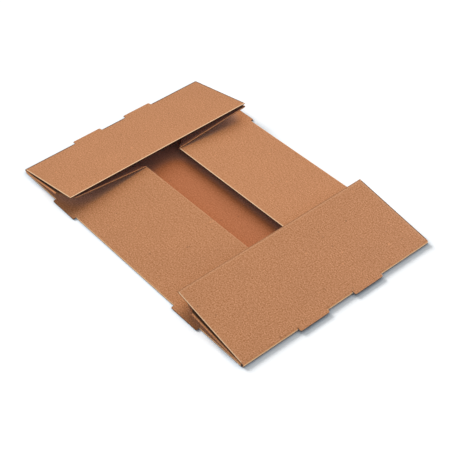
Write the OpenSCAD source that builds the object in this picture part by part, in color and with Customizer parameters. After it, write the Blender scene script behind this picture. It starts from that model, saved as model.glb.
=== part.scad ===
// Folded-flat paper food tray, cut and creased from one sheet of kraft board.
// The two side walls lie in on the base, and the two end walls lie in on top of them.
// At each corner a gusset of the side wall doubles back along a diagonal crease,
// and its glue flap is stuck to the underside of the end wall.
// The folds have sprung open a little, so every wall rises from its crease.
// X runs along the base from the far end to the near end, Z is up,
// and the base lies on Z = 0 with its middle at the origin.

/* [Base] */
// Length of the folded tray from end fold to end fold
base_length = 241; // [200:1:300]
// Width of the folded tray from side fold to side fold
base_width = 152; // [140:1:200]
// Thickness of the board
board = 0.5; // [0.4:0.05:0.8]

/* [Walls] */
// Height of the four walls from fold to free edge
wall_height = 63; // [45:1:66]
// Angle by which the far end wall has sprung open
far_angle = 11; // [7:0.5:16]
// Angle by which the near end wall has sprung open
near_angle = 12.5; // [7:0.5:16]
// Distance from the side fold to the cut end of an end wall, at its fold
end_setback = 0.4; // [0.2:0.1:3]
// Further distance by which that cut end draws in towards the free edge
end_taper = 0.6; // [0:0.1:4]

/* [Corner gussets] */
// Open relief where the creases of a corner meet
corner_relief = 4; // [2.5:0.5:8]
// Height on the gusset at which its hinge to the glue flap stops
hinge_height = 38; // [25:1:42]
// Angle by which the hinge splays out past the cut end of the end wall
hinge_splay = 1.7; // [0:0.1:2.5]
// Distance by which the gusset's top corner is trimmed in from the line of the hinge
gusset_trim = 6; // [4:0.5:12]

/* [Glue flaps] */
// Reach of a glue flap along the end wall
flap_reach = 30; // [15:1:45]
// Bare margin between a glue flap and the free edge of the end wall
flap_margin = 9; // [4:1:15]
// Slope of a glue flap's two side edges, across its reach
flap_slope = 6; // [2:0.5:8]

/* [Feet] */
// Distance by which a foot stands out past its fold
foot_depth = 2.25; // [1:0.25:3.5]
// Size of the trimmed corners of a foot
foot_trim = 0.6; // [0.2:0.1:0.9]
// Width of a foot on a side wall
side_foot_width = 25; // [15:1:40]
// Distance of a side wall's feet from the middle of the wall
side_foot_place = 67; // [45:1:70]
// Width of a foot on an end wall
end_foot_width = 23; // [12:1:30]
// Distance of an end wall's feet from the middle of the wall
end_foot_place = 22; // [17:1:40]

/* [Hidden] */
// Board pressed away on each face of a crease where it was scored
score = 0.05;
// Inner radius of a tight fold
fold_gap = 0.1;
// Distance from the axis of a crease to the edges of the panels that it joins
crease_gap = 0.4;
// Distance from that axis to where the crease ends inside those panels
crease_reach = 1;
// Distance by which a crease stops short at its ends
crease_stop = 0.3;
// Facets around half a turn of a fold
fold_steps = 8;
// Layers that lie between the base and an end wall: side wall, gusset and glue flap
layers_under_end = 3;
// Outer radius of a side fold, which turns straight back on the base
side_fold = board + fold_gap;
// Outer radius of an end fold, which turns around the layers under the end wall
end_fold = (layers_under_end + 2) * board / 2 + layers_under_end * fold_gap;
// Height of a wall from the axis of its fold to its free edge
reach = wall_height - end_fold;
// Angle by which the end walls have sprung open, taken together
mean_angle = (far_angle + near_angle) / 2;
// Angle by which the side walls then stand open, because each gusset stays flat
side_angle = asin(tan(mean_angle / 2));
// Colour of the outer face of the board
kraft = "#c28b60";

function unit(v) = v / norm(v);

// Points of an arc about the origin
function arc(radius, from, to, steps) =
    [for (i = [0 : steps]) let (a = from + (to - from) * i / steps) radius * [cos(a), sin(a)]];

// Outline of a foot, which hangs from the bottom edge of a wall past its fold
function foot_edge(middle, width, depth) = [
    [middle - width / 2, crease_gap],
    [middle - width / 2, foot_trim - depth],
    [middle - width / 2 + foot_trim, -depth],
    [middle + width / 2 - foot_trim, -depth],
    [middle + width / 2, foot_trim - depth],
    [middle + width / 2, crease_gap]
];

// Stretches of a fold that stay creased on either side of its two feet
function creased(half, place, width) =
    let (near = place - width / 2 - crease_stop, far = place + width / 2 + crease_stop)
    let (last = half - crease_stop)
    [[-last, -far], [-near, near], [far, last]];

// Cross-section of a crease, from a lower panel along +X round to one that rises over it
module crease_section(inner, outer, rise) {
    along = [cos(rise), sin(rise)];
    across = [-sin(rise), cos(rise)];
    lower_end = [[crease_reach, score - outer], [crease_reach, -score - inner]];
    upper_end = [for (depth = [inner + score, outer - score]) along * crease_reach + across * depth];
    outside = arc(outer - score, 90 + rise, 270, fold_steps);
    inside = arc(inner + score, 270, 90 + rise, fold_steps);
    polygon(concat(lower_end, inside, upper_end, outside));
}

// Base panel, notched where the feet were cut out of it
module base_panel() {
    long_half = base_length / 2 - end_fold;
    wide_half = base_width / 2 - side_fold;
    linear_extrude(board)
        difference() {
            square(2 * [long_half - crease_gap, wide_half - crease_gap], center = true);
            for (end = [-1, 1], foot = [-1, 1]) {
                translate([foot * side_foot_place, end * wide_half])
                    square([side_foot_width, 2 * foot_depth], center = true);
                translate([end * long_half, foot * end_foot_place])
                    square([2 * foot_depth, end_foot_width], center = true);
            }
        }
}

// Left side wall: a panel cut off at each end by the diagonal crease, and its fold
module side_wall() {
    half = base_length / 2 - end_fold;
    foot_half = half - corner_relief;
    crease_half = half - crease_gap * sqrt(2);
    foot_drop = foot_depth + side_fold;
    translate([0, side_fold - base_width / 2, side_fold]) {
        rotate([side_angle, 0, 0])
            translate([0, 0, fold_gap])
                linear_extrude(board)
                    polygon(concat(
                        [[corner_relief - crease_half, corner_relief], [-foot_half, crease_gap]],
                        foot_edge(-side_foot_place, side_foot_width, foot_drop),
                        foot_edge(side_foot_place, side_foot_width, foot_drop),
                        [[foot_half, crease_gap], [crease_half - corner_relief, corner_relief]],
                        [[crease_half - reach, reach], [reach - crease_half, reach]]
                    ));
        for (run = creased(foot_half, side_foot_place, side_foot_width))
            translate([run[0], 0, 0])
                rotate([90, 0, 90])
                    linear_extrude(run[1] - run[0])
                        crease_section(fold_gap, side_fold, side_angle);
    }
}

// Far end wall: a panel between its two cut ends, and its fold
module end_wall(rise) {
    foot_half = base_width / 2 - end_setback;
    top_half = foot_half - end_taper;
    foot_drop = foot_depth + end_fold;
    translate([end_fold - base_length / 2, 0, end_fold]) {
        rotate([0, -rise, 0])
            translate([0, 0, end_fold - board])
                rotate([0, 0, -90])
                    linear_extrude(board)
                        polygon(concat(
                            [[-foot_half, crease_gap]],
                            foot_edge(-end_foot_place, end_foot_width, foot_drop),
                            foot_edge(end_foot_place, end_foot_width, foot_drop),
                            [[foot_half, crease_gap], [top_half, reach], [-top_half, reach]]
                        ));
        for (run = creased(foot_half, end_foot_place, end_foot_width))
            translate([0, run[1], 0])
                rotate([90, 0, 0])
                    linear_extrude(run[1] - run[0])
                        crease_section(end_fold - board, end_fold, rise);
    }
}

// Far left corner: the gusset between the diagonal crease and its hinge, and the glue flap
module corner_gusset(rise) {
    // Hinge in the plane of the end wall, and diagonal along the side wall
    hinge = [cos(rise) * cos(hinge_splay), -sin(hinge_splay), sin(rise) * cos(hinge_splay)];
    up_end = [-sin(rise), 0, cos(rise)];
    into_flap = cross(up_end, hinge);
    side = [0, cos(side_angle), sin(side_angle)];
    up_side = [0, -sin(side_angle), cos(side_angle)];
    diagonal = unit([1, 0, 0] + side);
    into_side = unit([1, 0, 0] - side);
    // Plane of the gusset, which holds both lines
    up_gusset = unit(cross(hinge, diagonal));
    into_gusset = cross(up_gusset, hinge);
    slant = acos(hinge * diagonal);
    from_diagonal = unit(hinge - (hinge * diagonal) * diagonal);
    hinge_opening = acos(up_gusset * up_end);
    diagonal_opening = atan2(from_diagonal * up_side, from_diagonal * into_side);
    diagonal_start = corner_relief / cos(slant);
    diagonal_end = reach * sqrt(2);
    beside_diagonal = crease_gap * [sin(slant), -cos(slant)];
    hinge_start = corner_relief + crease_stop;
    hinge_end = hinge_height - crease_stop;
    crease_start = diagonal_start + crease_stop;
    crease_end = diagonal_end - crease_reach - crease_stop;
    // Height of a crease's axis over the middle of the gusset
    axis_height = board / 2 + fold_gap;
    meeting = [end_fold - base_length / 2, side_fold - base_width / 2, end_fold + fold_gap];

    translate(meeting) {
        // Gusset panel
        place_on(hinge, into_gusset, up_gusset)
            translate([0, 0, -board / 2])
                linear_extrude(board)
                    polygon([
                        [corner_relief, crease_gap],
                        [hinge_height, crease_gap],
                        [reach, gusset_trim],
                        diagonal_end * [cos(slant), sin(slant)] + beside_diagonal,
                        diagonal_start * [cos(slant), sin(slant)] + beside_diagonal
                    ]);
        // Hinge crease between the gusset and the glue flap
        translate(hinge * hinge_start + up_end * axis_height)
            place_on(into_gusset, up_gusset, hinge)
                linear_extrude(hinge_end - hinge_start)
                    crease_section(fold_gap, board + fold_gap, hinge_opening);
        // Diagonal crease between the side wall and the gusset
        translate(diagonal * crease_end - up_side * axis_height)
            place_on(into_side, up_side, -diagonal)
                linear_extrude(crease_end - crease_start)
                    crease_section(fold_gap, board + fold_gap, diagonal_opening);
        // Glue flap, pressed into the underside of the end wall
        place_on(hinge, into_flap, up_end)
            translate([0, 0, axis_height + fold_gap])
                linear_extrude(board + score)
                    polygon([
                        [corner_relief, crease_gap],
                        [hinge_height, crease_gap],
                        [reach - flap_margin, flap_slope],
                        [reach - flap_margin, flap_reach],
                        [corner_relief + flap_slope, flap_reach]
                    ]);
    }
}

// Turns X, Y and Z onto three given directions
module place_on(x, y, z) {
    multmatrix([
        [x[0], y[0], z[0], 0],
        [x[1], y[1], z[1], 0],
        [x[2], y[2], z[2], 0],
        [0, 0, 0, 1]
    ])
        children();
}

// The whole sheet as it lies folded
module folded_tray() {
    color(kraft)
        union() {
            base_panel();
            for (flip = [0, 1]) {
                mirror([0, flip, 0])
                    side_wall();
                mirror([flip, 0, 0])
                    end_wall(flip == 0 ? far_angle : near_angle);
            }
            for (flip_x = [0, 1], flip_y = [0, 1])
                mirror([flip_x, 0, 0])
                    mirror([0, flip_y, 0])
                        corner_gusset(flip_x == 0 ? far_angle : near_angle);
        }
}

folded_tray();
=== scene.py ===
import math

import bpy
import numpy as np
from mathutils import Matrix, Vector


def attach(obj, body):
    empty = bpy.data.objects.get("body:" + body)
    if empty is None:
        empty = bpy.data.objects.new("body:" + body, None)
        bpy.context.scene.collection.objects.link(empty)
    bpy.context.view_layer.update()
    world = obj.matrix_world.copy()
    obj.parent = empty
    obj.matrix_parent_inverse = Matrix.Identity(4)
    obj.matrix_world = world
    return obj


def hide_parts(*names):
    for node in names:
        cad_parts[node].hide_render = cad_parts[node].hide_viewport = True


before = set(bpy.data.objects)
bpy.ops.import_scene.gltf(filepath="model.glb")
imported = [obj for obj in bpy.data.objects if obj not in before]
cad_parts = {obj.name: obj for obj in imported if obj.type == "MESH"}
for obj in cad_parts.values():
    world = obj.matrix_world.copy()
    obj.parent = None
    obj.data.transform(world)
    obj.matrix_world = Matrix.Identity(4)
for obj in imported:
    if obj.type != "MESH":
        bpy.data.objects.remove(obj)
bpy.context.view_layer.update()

# Base panel
# The middle of the one sheet of kraft board that the tray is cut from, on which the folded tray lies.
# It is creased along its four edges, and notched at its rim wherever a foot was cut out of it.

# Lengths are in millimetres, and MM turns them into Blender's metres
MM = 0.001
base_length, base_width = 241.0, 152.0
board = 0.5
fold_gap = 0.1
layers_under_end = 3
cell = 2.6
fray_width = 0.9
foot_depth = 2.25
side_foot_place, side_foot_width = 67.0, 25.0
end_foot_place, end_foot_width = 22.0, 23.0
corner_relief = 0.6
side_fold = board + fold_gap
end_fold = (layers_under_end + 2) * board / 2 + layers_under_end * fold_gap
half_length = base_length / 2 - end_fold
half_width = base_width / 2 - side_fold
sheet = {"point": [], "inside": [], "flat": [], "crease": [], "edge_tone": [], "face": []}


def stations(*marks):
    """Places along a line, with both signs of each mark among them and no gap wider than a cell."""
    ends = sorted({sign * mark for mark in marks for sign in (-1, 1)})
    runs = []
    for start, stop in zip(ends, ends[1:]):
        steps = max(1, math.ceil((stop - start) / cell))
        runs.append(np.linspace(start, stop, steps, endpoint=False))
    return np.append(np.concatenate(runs), ends[-1])


def lay(grid, inside, flat, first=None, last=None, keep=None, crease=0.0, edge_tone=0.0):
    """Adds a panel or a fold to the sheet as a grid of points on the middle of the board.
    Each point has its way to the inside of the tray and its place on the flat blank.
    The first and last rows may be those of panels that are there already. Crease says how a fold is painted,
    pale for wear and painted highlight, or dark with painted shade if it is below 0, and the edge tone says
    the same of the fibres along a cut edge, where the pale is partly painted highlight."""
    rows, columns = grid.shape[:2]
    ids = len(sheet["point"]) + np.arange(rows * columns).reshape(rows, columns)
    sheet["point"] += list(grid.reshape(-1, 3))
    sheet["inside"] += list(np.broadcast_to(inside, grid.shape).reshape(-1, 3))
    sheet["flat"] += list(np.broadcast_to(flat, (rows, columns, 2)).reshape(-1, 2))
    sheet["crease"] += list(np.broadcast_to(crease, (rows, columns)).ravel())
    sheet["edge_tone"] += list(np.broadcast_to(edge_tone, (rows, columns)).ravel())
    for row, own in ((0, first), (-1, last)):
        if own is not None:
            ids[row] = own
    for r in range(rows - 1):
        for c in range(columns - 1):
            if keep is None or keep[r, c]:
                sheet["face"].append((ids[r, c], ids[r, c + 1], ids[r + 1, c + 1], ids[r + 1, c]))
    return ids


def on_foot(places, middle, width):
    """Says which stretches between neighbouring places belong to a foot."""
    centres = (places[1:] + places[:-1]) / 2
    return np.abs(np.abs(centres) - middle) < width / 2


def foot_marks(middle, width):
    """Places of the two cut ends of a foot, and of the lines where the pale fibres along them stop."""
    return [middle + side * (width / 2 - inset) for side in (-1, 1) for inset in (0, fray_width)]


side_marks = foot_marks(side_foot_place, side_foot_width)
end_marks = foot_marks(end_foot_place, end_foot_width)
along = stations(*side_marks, half_length - corner_relief, half_length - foot_depth, half_length)
across = stations(*end_marks, half_width - foot_depth, half_width - fray_width, half_width)
base_grid = np.zeros((len(across), len(along), 3))
base_grid[..., 0] = along
base_grid[..., 1] = across[:, None]
base_grid[..., 2] = board / 2
base_keep = np.ones((len(across) - 1, len(along) - 1), bool)
side_notch = np.abs(across[1:] + across[:-1]) / 2 > half_width - foot_depth
end_notch = np.abs(along[1:] + along[:-1]) / 2 > half_length - foot_depth
base_keep[side_notch] &= ~on_foot(along, side_foot_place, side_foot_width)
base_keep[:, end_notch] &= ~on_foot(across, end_foot_place, end_foot_width)[:, None]
base = lay(base_grid, (0, 0, 1), base_grid[..., :2], keep=base_keep)

# Side walls
# The two long walls, folded in flat on the base and sprung open by a few degrees at their folds.
# Each has two feet that stayed with the wall when its fold was creased, and stand out past the fold.
wall_height = 63.0
far_angle, near_angle = math.radians(11.0), math.radians(12.5)
# At this angle the gussets between the side walls and the end walls stay flat
side_angle = math.asin(math.tan((far_angle + near_angle) / 4))
foot_trim = 0.6
fold_steps = 8
short_hinge, long_hinge = 44.5, 56.0
reach = wall_height - end_fold
# Each side fold is painted dark low on its arc as painted shade and pale on its top for wear and as painted
# highlight. The rims are pale with loose fibres and painted highlight, brighter on the right, and the feet's
# edges are painted dark as painted shade.
side_tone = ((0.45, 0.6), (-0.8, 1.0))
side_edge_tone = {-1: 0.12, 1: 0.9}
side_foot_edge_shade = -0.4
hair = 0.01


def within_foot(places, middle, width):
    """Says which places lie on a foot, its two cut ends among them."""
    return np.abs(places - middle) < width / 2 + hair


def fold(lower, axis_up, outward, radius, sweep, inside_sign, flat_from, flat_to, tone, first,
         last=None, keep=None):
    """Turns the board through an arc, from a row of points on a lower panel to the panel over it.
    The sign is 1 where the inner face lies in the hollow of the fold, and -1 where it lies on its back.
    Its tone is a list of shares of the arc, from the lower panel up, and a list of its tone there: pale for
    wear and painted highlight above 0, dark with painted shade below 0."""
    turn = np.linspace(0, sweep, fold_steps + 1)[:, None, None]
    spoke = -np.cos(turn) * np.asarray(axis_up) + np.sin(turn) * np.asarray(outward)
    arc = lower + radius * np.asarray(axis_up) + radius * spoke
    share = np.linspace(0, 1, fold_steps + 1)[:, None, None]
    flat = flat_from + share * (flat_to - flat_from)
    normal = np.broadcast_to(-inside_sign * spoke, arc.shape)
    tones = np.interp(share[..., 0], *tone)
    ids = lay(arc, normal, flat, first=first, last=last, keep=keep, crease=tones)
    return arc[-1], ids[-1]


def fringe(rows, columns, free, left=(0,), right=(0,)):
    """Edge tone of a panel whose free edge and two ends are cut, each given from the inside to the rim: pale
    for loose fibres and painted highlight above 0, painted shade below 0.
    """
    made = np.zeros((rows, columns))
    made[1:, :len(left)] = left[::-1]
    made[1:, -len(right):] = right
    made[-len(free):] = np.asarray(free)[:, None]
    return made


def foot(top, down, inside, flat_top, flat_down, drop, top_ids, foot_edge_tone):
    """Adds a foot that runs straight on from the bottom row of a wall, with trimmed corners."""
    depths = np.array([0.0, (drop - foot_trim) / 2, drop - foot_trim, drop])[:, None, None]
    grid = top + depths * np.asarray(down)
    along_foot = np.asarray(top[-1] - top[0]) / np.linalg.norm(top[-1] - top[0])
    place = (top - top[0]) @ along_foot
    trimmed = np.clip(place, foot_trim, place[-1] - foot_trim)
    grid[-1] += (trimmed - place)[:, None] * along_foot
    edge_tone = fringe(*grid.shape[:2], [foot_edge_tone], [foot_edge_tone], [foot_edge_tone])
    lay(grid, inside, flat_top + depths * np.asarray(flat_down), first=top_ids, edge_tone=edge_tone)


side_radius = side_fold - board / 2
side_turn = side_radius * (math.pi - side_angle)
heights = np.unique(np.concatenate([np.linspace(start, stop, rows) for start, stop, rows in (
    (0, corner_relief, 3),
    (corner_relief, short_hinge, 15),
    (short_hinge, long_hinge, 5),
    (long_hinge, reach - fray_width, 4),
    (reach, reach, 1),
)]))
first_creased = int(np.argmin(np.abs(along + half_length - corner_relief)))
creased = slice(first_creased, len(along) - first_creased)
side_along = along[creased]
row_half = half_length - np.maximum(heights, corner_relief)
spread = side_along[None] * (row_half / row_half[0])[:, None]
side_feet = on_foot(side_along, side_foot_place, side_foot_width)
side_walls = {}
for sign in (-1, 1):
    slope = np.array([0, -sign * math.cos(side_angle), math.sin(side_angle)])
    side_up = np.array([0, sign * math.sin(side_angle), math.cos(side_angle)])
    axis = np.array([0, sign * half_width, side_fold])
    grid = axis + side_radius * side_up + heights[:, None, None] * slope
    grid = grid + spread[..., None] * np.array([1, 0, 0])
    blank_heights = sign * (half_width + side_turn + heights)
    flat = np.stack(np.broadcast_arrays(spread, blank_heights[:, None]), -1)
    ids = lay(grid, -side_up, flat, edge_tone=fringe(*spread.shape, [side_edge_tone[sign]]))
    rim_row = 0 if sign < 0 else -1
    lower = base_grid[rim_row, creased]
    fold(lower, axis_up=(0, 0, 1), outward=(0, sign, 0), radius=side_radius, sweep=math.pi - side_angle,
         inside_sign=1, flat_from=lower[:, :2], flat_to=flat[0], tone=side_tone,
         first=base[rim_row, creased], last=ids[0],
         keep=np.broadcast_to(~side_feet, (fold_steps, len(side_feet))))
    for side in (-1, 1):
        here = within_foot(side_along, side * side_foot_place, side_foot_width)
        foot(grid[0, here], down=-slope, inside=-side_up, flat_top=flat[0, here], flat_down=(0, -sign),
             drop=foot_depth + side_fold, top_ids=ids[0, here], foot_edge_tone=side_foot_edge_shade)
    side_walls[sign] = {"grid": grid, "ids": ids, "flat": flat, "slope": slope, "up": side_up}

# End walls
# The two short walls, folded in over the side walls and sprung open further than they are.
# Their cut ends stop just short of the side folds, and each has two feet like those of the side walls.
end_setback, end_taper = 0.4, 0.6
end_rows = 24
rim_lines = np.array([0.9, 0.4, 0.0])
rim_band, fold_band = 2.0, 1.1
# The far fold is painted dark over its arc as painted shade. The near fold is painted dark low on its arc as
# painted shade, pale a little higher for wear and as painted highlight, and plain at its top.
far_tone = ((0.0,), (-1.0,))
near_tone = ((0.4, 0.5, 0.65, 0.8), (-0.5, 1.0, 1.0, 0.0))
# Tone of the free edge, the left end and the right end, each from the inside to the rim: pale above 0 for
# loose fibres and painted highlight, dark below 0 with painted shade
far_edge_tones = ((0.1, 1.0, 1.0), (0.9,), (0, -0.9))
near_edge_tones = ((0.15, -0.3, -0.3), (0.6,), (0.15, -1.0))
end_foot_fray = 0.1
end_radius = end_fold - board / 2
end_heights = np.concatenate([[0], np.linspace(fold_band, reach - rim_band, end_rows), reach - rim_lines])
end_half = base_width / 2 - end_setback - end_taper * end_heights / reach
spread = across[None] * (end_half / half_width)[:, None]
end_feet = on_foot(across, end_foot_place, end_foot_width)
end_walls = {}
for sign, angle, tone, edge_tones in (
    (-1, far_angle, far_tone, far_edge_tones),
    (1, near_angle, near_tone, near_edge_tones),
):
    slope = np.array([-sign * math.cos(angle), 0, math.sin(angle)])
    end_up = np.array([sign * math.sin(angle), 0, math.cos(angle)])
    axis = np.array([sign * half_length, 0, end_fold])
    end_turn = end_radius * (math.pi - angle)
    grid = axis + end_radius * end_up + end_heights[:, None, None] * slope
    grid = grid + spread[..., None] * np.array([0, 1, 0])
    blank_heights = sign * (half_length + end_turn + end_heights)
    flat = np.stack(np.broadcast_arrays(blank_heights[:, None], spread), -1)
    # The wall's first row takes the tone at the top of its fold: on the far wall it is painted dark as
    # painted shade, and it stays plain on the feet.
    crease = np.zeros(spread.shape)
    foot_here = within_foot(np.abs(across), end_foot_place, end_foot_width)
    crease[0] = np.where(foot_here, 0, np.interp(1, *tone))
    ids = lay(grid, -end_up, flat, crease=crease, edge_tone=fringe(*spread.shape, *edge_tones))
    rim_column = 0 if sign < 0 else -1
    lower = base_grid[:, rim_column]
    fold(lower, axis_up=(0, 0, 1), outward=(sign, 0, 0), radius=end_radius, sweep=math.pi - angle,
         inside_sign=1, flat_from=lower[:, :2], flat_to=flat[0], tone=tone,
         first=base[:, rim_column], last=ids[0],
         keep=np.broadcast_to(~end_feet, (fold_steps, len(end_feet))))
    for side in (-1, 1):
        here = within_foot(across, side * end_foot_place, end_foot_width)
        foot(grid[0, here], down=-slope, inside=-end_up, flat_top=flat[0, here], flat_down=(-sign, 0),
             drop=foot_depth + end_fold, top_ids=ids[0, here], foot_edge_tone=end_foot_fray)
    end_walls[sign] = {"slope": slope, "up": end_up}

# Corner gussets and glue flaps
# The ends of each side wall double back along a 45 degree crease and lie over the wall.
# A flap on the far side of each gusset is glued to the underside of the end wall.
gusset_trim = 6.0
gusset_columns = 11
# Painted shade on the gusset under the end wall, and a pale rim that is partly painted highlight
gusset_shade, gusset_shade_reach, gusset_rim = -0.6, 8.0, 0.9
diagonal_tone = ((0,), (0.2,))
flap_reach, flap_margin, flap_slope = 30.0, 9.0, 6.0
flap_rows = 10
near_hinge_line = 0.4
glued_from = 12.0
hang_slope = 0.12
tight_radius = fold_gap + board / 2
# By side and end: degrees by which the hinge splays out past the end wall, height on the gusset at which
# it stops, depth by which it hangs below the flat gusset, and the tone of its fold: orange above 0, partly
# for wear and partly as painted highlight, and dark below 0 as painted shade
corners = {
    (-1, -1): (1.7, short_hinge, 1.1, 0.5),
    (-1, 1): (1.7, short_hinge, 1.1, 0.25),
    (1, -1): (-1.2, reach, 1.3, 0.3),
    (1, 1): (-0.6, long_hinge, 0.4, -0.8),
}


def unit(v):
    return np.asarray(v) / np.linalg.norm(v)


creased_up = heights >= corner_relief - hair
rise = heights[creased_up]
flap_lines = np.linspace(flap_slope, flap_reach, flap_rows)
from_hinge = np.concatenate([[0, near_hinge_line, flap_slope / 2], flap_lines])
step = np.linspace(0, 1, gusset_columns)[None, :, None]
for (side_sign, end_sign), (splay, hinge_height, hang, hinge_tone) in corners.items():
    wall = side_walls[side_sign]
    end_up = end_walls[end_sign]["up"]
    column = 0 if end_sign < 0 else -1

    # The gusset lies in the plane that holds its diagonal crease and its hinge
    hinge = math.cos(math.radians(splay)) * end_walls[end_sign]["slope"]
    hinge = hinge + math.sin(math.radians(splay)) * np.array([0, side_sign, 0])
    inward = np.array([-end_sign, 0, 0])
    diagonal = unit(inward + wall["slope"])
    into_side = unit(inward - wall["slope"])
    from_diagonal = unit(hinge - (hinge @ diagonal) * diagonal)
    opening = math.atan2(from_diagonal @ wall["up"], from_diagonal @ into_side)
    gusset_up = unit(np.cross(hinge, diagonal))
    gusset_up = gusset_up * np.sign(gusset_up[2])
    into_gusset = unit(diagonal - (diagonal @ hinge) * hinge)
    hinge_opening = math.acos(np.clip(gusset_up @ end_up, -1, 1))

    # It starts where the arc from the side wall's edge ends
    edge_points = wall["grid"][creased_up, column]
    edge_flat = wall["flat"][creased_up, column]
    arc_end = edge_points + tight_radius * wall["up"]
    arc_end = arc_end + tight_radius * (math.cos(opening) * wall["up"] - math.sin(opening) * into_side)
    corner = arc_end[0] - diagonal * math.sqrt(2) * rise[0]
    # A hinge that runs up to the free edge leaves nothing to trim
    past_hinge = np.clip((rise - hinge_height) / max(reach - hinge_height, 1), 0, 1)
    trim = gusset_trim * past_hinge
    on_diagonal = corner + diagonal * (math.sqrt(2) * rise)[:, None]
    on_hinge = corner + hinge * rise[:, None] + into_gusset * trim[:, None]
    gusset = on_diagonal[:, None] * (1 - step) + on_hinge[:, None] * step
    droop = np.minimum(hang, hang_slope * rise) * (1 - past_hinge)
    gusset = gusset - end_up * droop[:, None, None] * step
    inset = rise[:, None] + step[..., 0] * (trim - rise)[:, None]
    blank_heights = edge_flat[0, 1] - side_sign * rise[0] + side_sign * rise
    flat = np.stack(np.broadcast_arrays(end_sign * (half_length - inset), blank_heights[:, None]), -1)
    # The gusset is painted darker towards its top, where it lies under the end wall, as painted shade, and
    # its cut rim is painted pale for loose fibres and as painted highlight.
    gusset_tone = gusset_shade * np.clip((rise - reach) / gusset_shade_reach + 1, 0, 1)[:, None]
    gusset_tone[-1] = gusset_rim
    ids = lay(gusset, gusset_up, flat, crease=gusset_tone)
    fold(edge_points, axis_up=wall["up"], outward=-into_side, radius=tight_radius, sweep=math.pi - opening,
         inside_sign=-1, flat_from=edge_flat, flat_to=flat[:, 0], tone=diagonal_tone,
         first=wall["ids"][creased_up, column], last=ids[:, 0])

    # The flap turns back over the hinge, and rises to the end wall where the hinge hangs below it
    rows = rise <= hinge_height + hair
    hinge_flat = flat[rows, -1]
    flap_end, flap_ids = fold(
        gusset[rows, -1], axis_up=gusset_up, outward=-into_gusset, radius=tight_radius,
        sweep=math.pi - hinge_opening, inside_sign=1, flat_from=hinge_flat, flat_to=hinge_flat,
        tone=((0,), (hinge_tone,)), first=ids[rows, -1])
    flap_way = math.cos(hinge_opening) * into_gusset + math.sin(hinge_opening) * gusset_up
    low = corner_relief + flap_slope * from_hinge / flap_reach
    high = hinge_height + (reach - flap_margin - hinge_height) * np.clip(from_hinge / flap_slope, 0, 1)
    share = (rise[rows] - corner_relief) / (hinge_height - corner_relief)
    shift = low + share[:, None] * (high - low) - rise[rows][:, None]
    flap = flap_end[:, None] + shift[..., None] * hinge + from_hinge[:, None] * flap_way
    lifted = (1 - np.cos(np.clip(from_hinge / glued_from, 0, 1) * math.pi)) / 2
    flap = flap + end_up * (droop[rows][:, None] * lifted)[..., None]
    flap_spread = np.stack(np.broadcast_arrays(end_sign * from_hinge, side_sign * shift), -1)
    flap_flat = hinge_flat[:, None] + flap_spread
    flap_inside = math.sin(hinge_opening) * into_gusset - math.cos(hinge_opening) * gusset_up
    # Near the hinge the flap is painted dark as painted shade, where it lies deep in the gap under the end
    # wall.
    gap_shade = np.where(from_hinge < flap_slope, -1.0, 0.0)[:, None]
    lay(flap.transpose(1, 0, 2), flap_inside, flap_flat.transpose(1, 0, 2), first=flap_ids, crease=gap_shade)

# The board
# The panels and folds above are one sheet, so they get one thickness, and cut edges all round.
# The outer face is smooth brown kraft, the inner face is a little redder, and the cut shows dark fibres,
# painted darker still as painted shade below pale rims.
rim_push = 0.04
rim_rows = (0.9, -0.9)
sharp_angle = math.radians(35)
outer_face, inner_face, cut_face = 0, 1, 2
used, face = np.unique(np.array(sheet["face"], int), return_inverse=True)
face = face.reshape(-1, 4)
point, inside, flat, crease, edge_tone = (
    np.array(sheet[kind], float)[used] for kind in ("point", "inside", "flat", "crease", "edge_tone"))
inside /= np.linalg.norm(inside, axis=1)[:, None]
count = len(point)
# Every face is turned so that it looks to the inside of the tray
corner = point[face]
facing = np.cross(corner[:, 2] - corner[:, 0], corner[:, 3] - corner[:, 1])
wrong = (facing * inside[face].mean(1)).sum(1) < 0
face[wrong] = face[wrong][:, ::-1]
# An edge that only one face has is a cut edge
edges = np.concatenate([face[:, [i, (i + 1) % 4]] for i in range(4)])
number, times = np.unique(np.sort(edges, axis=1), axis=0, return_inverse=True, return_counts=True)[1:]
cut = edges[times[number.ravel()] == 1]
outward = np.zeros_like(point)
for a, b in cut:
    out = np.cross(point[b] - point[a], inside[a])
    outward[a] += out / np.linalg.norm(out)
    outward[b] += out / np.linalg.norm(out)
rim = np.unique(cut)
rim_place = np.full(count, -1)
rim_place[rim] = np.arange(len(rim))
# At the end of a slit the ways out cancel, so there it has none
outward[rim] /= np.maximum(np.linalg.norm(outward[rim], axis=1), 1)[:, None]
layers = [point + inside * board / 2, point - inside * board / 2]
layers += [point[rim] + inside[rim] * board / 2 * k + outward[rim] * rim_push for k in rim_rows]
vertices = np.concatenate(layers)
faces = [tuple(f) for f in face] + [tuple(f[::-1] + count) for f in face]
kinds = [inner_face] * len(face) + [outer_face] * len(face)
for a, b in cut:
    ladder = [(a, b)]
    ladder += [tuple(2 * count + i * len(rim) + rim_place[[a, b]]) for i in range(len(rim_rows))]
    ladder += [(a + count, b + count)]
    for (p, q), (r, t) in zip(ladder, ladder[1:]):
        faces.append((q, p, r, t))
        kinds.append(cut_face)
mesh = bpy.data.meshes.new("tray_board")
mesh.from_pydata((vertices * MM).tolist(), [], [tuple(int(i) for i in f) for f in faces])
mesh.polygons.foreach_set("material_index", kinds)
vertex_flat = np.concatenate([flat, flat, flat[rim], flat[rim]])
blank = mesh.uv_layers.new(name="blank")
loop_vertex = np.zeros(len(mesh.loops), int)
mesh.loops.foreach_get("vertex_index", loop_vertex)
blank.data.foreach_set("uv", vertex_flat[loop_vertex].astype(np.float32).ravel())
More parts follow.
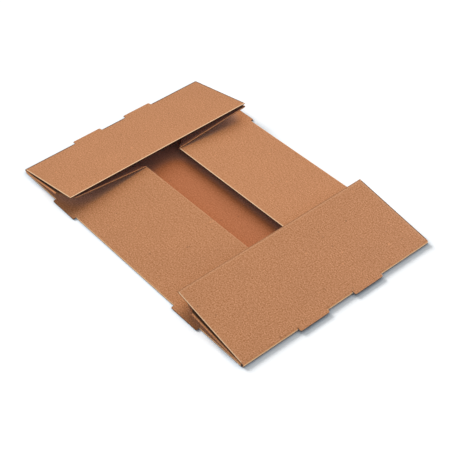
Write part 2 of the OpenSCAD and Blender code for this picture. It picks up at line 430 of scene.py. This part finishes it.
# The cut face below a pale rim is painted dark as painted shade
shade = np.tile(-np.maximum(edge_tone[rim], 0), len(rim_rows))
for name, values in (("crease", (crease, crease, 0 * shade)), ("cut_edge_tone", (0 * edge_tone, edge_tone, shade))):
    kept = mesh.attributes.new(name, "FLOAT", "POINT")
    kept.data.foreach_set("value", np.concatenate(values).astype(np.float32))
mesh.validate()
mesh.set_sharp_from_angle(angle=sharp_angle)
tray = bpy.data.objects.new("tray_board", mesh)
bpy.context.scene.collection.objects.link(tray)


def kraft_fibres():
    """Shader group for the look of kraft board: clouds, grain, fibres and flecks over a board colour,
    paler along the cut edges and the creases for wear and painted highlight, and darker there with painted
    shade."""
    group = bpy.data.node_groups.new("kraft_fibres", "ShaderNodeTree")
    for name, kind, way in (
        ("Place", "NodeSocketVector", "INPUT"),
        ("Crease", "NodeSocketFloat", "INPUT"),
        ("EdgeTone", "NodeSocketFloat", "INPUT"),
        ("Board", "NodeSocketColor", "INPUT"),
        ("Grain", "NodeSocketFloat", "INPUT"),
        ("Colour", "NodeSocketColor", "OUTPUT"),
        ("Height", "NodeSocketFloat", "OUTPUT"),
        ("Roughness", "NodeSocketFloat", "OUTPUT"),
    ):
        group.interface.new_socket(name, in_out=way, socket_type=kind)
    nodes, links = group.nodes, group.links
    taken = nodes.new("NodeGroupInput").outputs
    given = nodes.new("NodeGroupOutput").inputs

    def put(socket, value):
        if isinstance(value, bpy.types.NodeSocket):
            links.new(value, socket)
        else:
            socket.default_value = value

    def place(stretch=(1, 1, 1), turn=0.0, shift=(0, 0, 0)):
        made = nodes.new("ShaderNodeMapping")
        put(made.inputs["Vector"], taken["Place"])
        put(made.inputs["Location"], shift)
        put(made.inputs["Rotation"], (0, 0, turn))
        put(made.inputs["Scale"], stretch)
        return made.outputs["Vector"]

    def sums(kind, a, b):
        made = nodes.new("ShaderNodeMath")
        made.operation = kind
        put(made.inputs[0], a)
        put(made.inputs[1], b)
        return made.outputs[0]

    def noise(scale, detail, strength, where):
        """Noise about 0, with its scale in waves per millimetre."""
        middle = 0.5
        made = nodes.new("ShaderNodeTexNoise")
        put(made.inputs["Vector"], where)
        put(made.inputs["Scale"], scale)
        put(made.inputs["Detail"], detail)
        return sums("MULTIPLY", sums("SUBTRACT", made.outputs["Fac"], middle), strength)

    def ramp(value, low, high):
        made = nodes.new("ShaderNodeMapRange")
        made.interpolation_type = "SMOOTHSTEP"
        put(made.inputs["Value"], value)
        put(made.inputs["From Min"], low)
        put(made.inputs["From Max"], high)
        return made.outputs["Result"]

    def mixed(mask, under, over):
        made = nodes.new("ShaderNodeMix")
        made.data_type = "RGBA"
        put(made.inputs["Factor"], mask)
        put(made.inputs["A"], under)
        put(made.inputs["B"], over)
        return made.outputs["Result"]

    def vectors(kind, a, b):
        made = nodes.new("ShaderNodeVectorMath")
        made.operation = kind
        put(made.inputs[0], a)
        put(made.inputs["Scale" if kind == "SCALE" else 1], b)
        return made.outputs["Vector"]

    def flecks(spacing, radius, share, shift):
        edge = 0.03
        made = nodes.new("ShaderNodeTexVoronoi")
        put(made.inputs["Vector"], place(shift=shift))
        put(made.inputs["Scale"], 1 / spacing)
        chance = nodes.new("ShaderNodeSeparateColor")
        links.new(made.outputs["Color"], chance.inputs["Color"])
        chosen = sums("LESS_THAN", chance.outputs["Red"], share)
        size = sums("MULTIPLY", chance.outputs["Green"], radius / spacing)
        return sums("MULTIPLY", ramp(sums("SUBTRACT", made.outputs["Distance"], size), edge, -edge), chosen)

    clouds = noise(scale=0.035, detail=3, strength=0.12, where=place())
    grain = noise(scale=1.15, detail=1, strength=1.55, where=place(shift=(31, 7, 0)))
    long_fibres = noise(scale=1.0, detail=2, strength=0.28, where=place(stretch=(0.16, 1.3, 1), turn=0.25))
    cross_fibres = noise(scale=1.0, detail=2, strength=0.22, where=place(stretch=(1.2, 0.2, 1), turn=0.4))
    fine = sums("ADD", grain, sums("ADD", long_fibres, cross_fibres))
    fine = sums("MULTIPLY", fine, taken["Grain"])
    # Pale grains are greyer than the board, and dark ones are more saturated
    grain_tint = (0.72, 1.0, 1.5)
    tinted = vectors("ADD", vectors("SCALE", grain_tint, fine), (1, 1, 1))
    colour = vectors("SCALE", taken["Board"], sums("ADD", clouds, 1.0))
    colour = vectors("MULTIPLY", colour, tinted)
    for spots, cover, tone in (
        (flecks(spacing=5.0, radius=0.75, share=0.45, shift=(3, 11, 0)), 0.5, 0.5),
        (flecks(spacing=6.5, radius=0.8, share=0.4, shift=(17, 5, 0)), 0.6, 1.4),
    ):
        colour = mixed(sums("MULTIPLY", spots, cover), colour, vectors("SCALE", taken["Board"], tone))
    # A crease is painted orange where its tone is low and pale where it is high, partly for wear and partly
    # as a painted highlight on the tops of folds
    half_pale, orange_cover = 0.5, 0.8
    orange_wear_and_highlight, pale_wear_and_highlight = (0.86, 0.34, 0.14, 1), (1.0, 0.64, 0.35, 1)
    orange_mask = sums("MULTIPLY", ramp(taken["Crease"], 0.0, half_pale), orange_cover)
    colour = mixed(orange_mask, colour, orange_wear_and_highlight)
    colour = mixed(ramp(taken["Crease"], half_pale, 1.0), colour, pale_wear_and_highlight)
    # A cut edge is painted pale here more and there less, partly for loose fibres and partly as a painted
    # highlight along the rim
    half_pale_edge, mean_cover = 0.5, 0.9
    pale_fibre_and_highlight = (0.99, 0.66, 0.41, 1)
    patchy = noise(scale=0.6, detail=2, strength=0.8, where=place(shift=(5, 23, 0)))
    cut_edge_tone = sums("MULTIPLY", ramp(taken["EdgeTone"], 0.0, half_pale_edge), sums("ADD", patchy, mean_cover))
    colour = mixed(cut_edge_tone, colour, pale_fibre_and_highlight)
    # Creases and cut edges below 0 are painted dark brown as painted shade: under fold noses, along cut
    # faces, in gaps and on the feet's edges
    shade_cover, full_shade = 0.85, -0.8
    painted_shade_brown = (0.06, 0.028, 0.016, 1)
    shaded_crease = sums("MULTIPLY", taken["Crease"], -shade_cover)
    shaded_edge = sums("MULTIPLY", ramp(taken["EdgeTone"], 0.0, full_shade), shade_cover)
    painted_shade = sums("MAXIMUM", sums("MAXIMUM", shaded_crease, shaded_edge), 0.0)
    colour = mixed(painted_shade, colour, painted_shade_brown)
    mean_roughness, grain_roughness = 0.84, 0.25
    roughness = sums("ADD", sums("MULTIPLY", fine, grain_roughness), mean_roughness)
    links.new(colour, given["Colour"])
    links.new(fine, given["Height"])
    links.new(roughness, given["Roughness"])
    return group


fibres = kraft_fibres()
outer_brown, outer_grain = (0.557, 0.248, 0.115), 1.0
inner_brown, inner_grain = (0.500, 0.171, 0.071), 0.8
cut_brown, cut_grain = (0.280, 0.130, 0.060), 0.8
paper_gloss = 0.2
bump_strength, bump_height = 0.3, 0.05
# Painted shade colour: board deep in a gap is painted greyer, and at the mouth of the gap a little more
# saturated than in the open, standing in for the colour of shade and of light bounced between the panels
shade_tint_reach = 25.0
deep, mouth, in_open = 0.1, 0.6, 0.95
shaded_saturation, penumbra_saturation, open_saturation = 0.6, 1.04, 1.0
for name, colour, grain in (
    ("kraft_outer", outer_brown, outer_grain),
    ("kraft_inner", inner_brown, inner_grain),
    ("kraft_cut", cut_brown, cut_grain),
):
    made = bpy.data.materials.new(name)
    made.use_nodes = True
    nodes, links = made.node_tree.nodes, made.node_tree.links
    shader = nodes["Principled BSDF"]
    shader.inputs["Specular IOR Level"].default_value = paper_gloss
    place = nodes.new("ShaderNodeUVMap")
    place.uv_map = "blank"
    look = nodes.new("ShaderNodeGroup")
    look.node_tree = fibres
    look.inputs["Board"].default_value = (*colour, 1)
    look.inputs["Grain"].default_value = grain
    links.new(place.outputs["UV"], look.inputs["Place"])
    for socket, attribute in (("Crease", "crease"), ("EdgeTone", "cut_edge_tone")):
        mark = nodes.new("ShaderNodeAttribute")
        mark.attribute_name = attribute
        links.new(mark.outputs["Fac"], look.inputs[socket])
    # Painted shade: the board colour is greyed deep in gaps and made more saturated at their mouths
    openness = nodes.new("ShaderNodeAmbientOcclusion")
    openness.inputs["Distance"].default_value = shade_tint_reach * MM
    shade_saturation = nodes.new("ShaderNodeMath")
    shade_saturation.operation = "MINIMUM"
    for i, (start, stop, low, high) in enumerate(((deep, mouth, shaded_saturation, penumbra_saturation), (mouth, in_open, penumbra_saturation, open_saturation))):
        stretch = nodes.new("ShaderNodeMapRange")
        links.new(openness.outputs["AO"], stretch.inputs["Value"])
        stretch.inputs["From Min"].default_value = start
        stretch.inputs["From Max"].default_value = stop
        stretch.inputs["To Min"].default_value = low
        stretch.inputs["To Max"].default_value = high
        links.new(stretch.outputs["Result"], shade_saturation.inputs[i])
    shade_tinted = nodes.new("ShaderNodeHueSaturation")
    links.new(shade_saturation.outputs[0], shade_tinted.inputs["Saturation"])
    links.new(look.outputs["Colour"], shade_tinted.inputs["Color"])
    links.new(shade_tinted.outputs["Color"], shader.inputs["Base Color"])
    links.new(look.outputs["Roughness"], shader.inputs["Roughness"])
    bump = nodes.new("ShaderNodeBump")
    bump.inputs["Strength"].default_value = bump_strength
    bump.inputs["Distance"].default_value = bump_height * MM
    links.new(look.outputs["Height"], bump.inputs["Height"])
    links.new(bump.outputs["Normal"], shader.inputs["Normal"])
    mesh.materials.append(made)
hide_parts("folded_tray")
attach(tray, "root")

# Floor
# A wide white table top under the tray, so pale that only the tray's soft shadow shows on it.
# Two lamps light nothing else, one low behind the far end and one overhead, and close to the board it is
# painted grey as a painted shadow.
floor_half = 4000.0
contact_reach = 5.0
contact_start, contact_full = 0.995, 0.7
table_white, painted_contact_shadow = (0.64, 0.65, 0.665, 1), (0.47, 0.52, 0.57, 1)
table_roughness = 0.9
lamp_white = (1.0, 0.985, 0.96)
floor_mesh = bpy.data.meshes.new("floor")
floor_corners = floor_half * MM * np.array([(-1, -1, 0), (1, -1, 0), (1, 1, 0), (-1, 1, 0)])
floor_mesh.from_pydata(floor_corners.tolist(), [], [(0, 1, 2, 3)])
floor = bpy.data.objects.new("floor", floor_mesh)
bpy.context.scene.collection.objects.link(floor)
white = bpy.data.materials.new("white_floor")
white.use_nodes = True
nodes, links = white.node_tree.nodes, white.node_tree.links
shader = nodes["Principled BSDF"]
# Painted shadow: the table is painted grey where board lies close over it
near_board = nodes.new("ShaderNodeAmbientOcclusion")
near_board.inputs["Distance"].default_value = contact_reach * MM
hidden = nodes.new("ShaderNodeMapRange")
links.new(near_board.outputs["AO"], hidden.inputs["Value"])
hidden.inputs["From Min"].default_value = contact_start
hidden.inputs["From Max"].default_value = contact_full
tint = nodes.new("ShaderNodeMix")
tint.data_type = "RGBA"
links.new(hidden.outputs["Result"], tint.inputs["Factor"])
tint.inputs["A"].default_value = table_white
tint.inputs["B"].default_value = painted_contact_shadow
links.new(tint.outputs["Result"], shader.inputs["Base Color"])
shader.inputs["Roughness"].default_value = table_roughness
shader.inputs["Specular IOR Level"].default_value = 0.0
floor_mesh.materials.append(white)
lit_floor = bpy.data.collections.new("lit_floor")
lit_floor.objects.link(floor)


def sun(name, heading, tilt, spread, strength, colour, lit):
    """Hangs a soft lamp far off that lights one collection, tilted from overhead towards a heading.
    Its tilt and its spread are in degrees."""
    lamp = bpy.data.lights.new(name, "SUN")
    lamp.angle = math.radians(spread)
    lamp.energy = strength
    lamp.color = colour
    hung = bpy.data.objects.new(name, lamp)
    level = unit(heading) * math.sin(math.radians(tilt))
    way = Vector((level[0], level[1], math.cos(math.radians(tilt))))
    hung.location = way
    hung.rotation_mode = "QUATERNION"
    hung.rotation_quaternion = way.to_track_quat("Z", "Y")
    hung.light_linking.receiver_collection = lit
    bpy.context.scene.collection.objects.link(hung)


sun("floor_lamp", heading=(-1.0, -0.1), tilt=62, spread=26, strength=5.9, colour=lamp_white, lit=lit_floor)
sun("floor_fill", heading=(-1.0, 0.0), tilt=0, spread=80, strength=1.25, colour=lamp_white, lit=lit_floor)

# Light
# A wide soft lamp high on the far right lights the tray, and two small soft lamps help it: one over the
# slot, and a bluish one by the near right corner. Pale light comes from all round a white room.
key_warm = (1.04, 0.985, 0.91)
overhead_white, fill_blue = (1.0, 1.0, 1.0), (0.75, 0.97, 1.5)
room_light, room_strength = (0.9, 0.98, 1.04, 1), 0.42
backdrop_white = (1, 1, 1, 1)
lit_tray = bpy.data.collections.new("lit_tray")
lit_tray.objects.link(tray)
sun("key", heading=(-0.4, 0.9), tilt=40, spread=60, strength=1.87, colour=key_warm, lit=lit_tray)
for name, spot, size, power, colour in (
    ("overhead", (-40.0, -5.0, 190.0), 160.0, 0.045, overhead_white),
    ("near_fill", (210.0, 130.0, 130.0), 120.0, 0.043, fill_blue),
):
    lamp = bpy.data.lights.new(name, "AREA")
    lamp.shape = "DISK"
    lamp.size = size * MM
    lamp.energy = power
    lamp.color = colour
    hung = bpy.data.objects.new(name, lamp)
    hung.location = Vector(spot) * MM
    hung.light_linking.receiver_collection = lit_tray
    bpy.context.scene.collection.objects.link(hung)
world = bpy.data.worlds.new("studio")
world.use_nodes = True
nodes, links = world.node_tree.nodes, world.node_tree.links
around = nodes["Background"]
around.inputs["Color"].default_value = room_light
around.inputs["Strength"].default_value = room_strength
behind = nodes.new("ShaderNodeBackground")
behind.inputs["Color"].default_value = backdrop_white
behind.inputs["Strength"].default_value = 1.0
ray = nodes.new("ShaderNodeLightPath")
choice = nodes.new("ShaderNodeMixShader")
links.new(ray.outputs["Is Camera Ray"], choice.inputs["Fac"])
links.new(around.outputs[0], choice.inputs[1])
links.new(behind.outputs[0], choice.inputs[2])
links.new(choice.outputs[0], nodes["World Output"].inputs["Surface"])
bpy.context.scene.world = world

# Camera
# It looks down on the tray from over its near left corner, from the angle of the photograph.
# Its place is given by a distance from the middle of the tray and by small shifts aside and up.
focal_pixels, frame_pixels, sensor = 1119.7, 450, 36.0
azimuth, elevation, roll = (math.radians(a) for a in (54.788, 42.455, -5.36))
distance, aside, above = 746.4, 6.068, -12.592
nearest, farthest = 10.0, 20000.0
level = np.array([math.cos(azimuth), math.sin(azimuth), 0])
outwards = np.array([math.sin(azimuth), -math.cos(azimuth), 0])
back = math.cos(elevation) * outwards + math.sin(elevation) * np.array([0, 0, 1])
upright = np.cross(back, level)
right = math.cos(roll) * level + math.sin(roll) * upright
top = -math.sin(roll) * level + math.cos(roll) * upright
eye = (back * distance + right * aside + top * above) * MM
lens = bpy.data.cameras.new("camera")
lens.sensor_width = sensor
lens.lens = focal_pixels * sensor / frame_pixels
lens.clip_start, lens.clip_end = nearest * MM, farthest * MM
camera = bpy.data.objects.new("camera", lens)
turned = Matrix([list(axis) for axis in zip(right, top, back)]).to_4x4()
turned.translation = Vector(eye)
camera.matrix_world = turned
bpy.context.scene.collection.objects.link(camera)
bpy.context.scene.camera = camera
bpy.context.scene.view_settings.view_transform = "Standard"
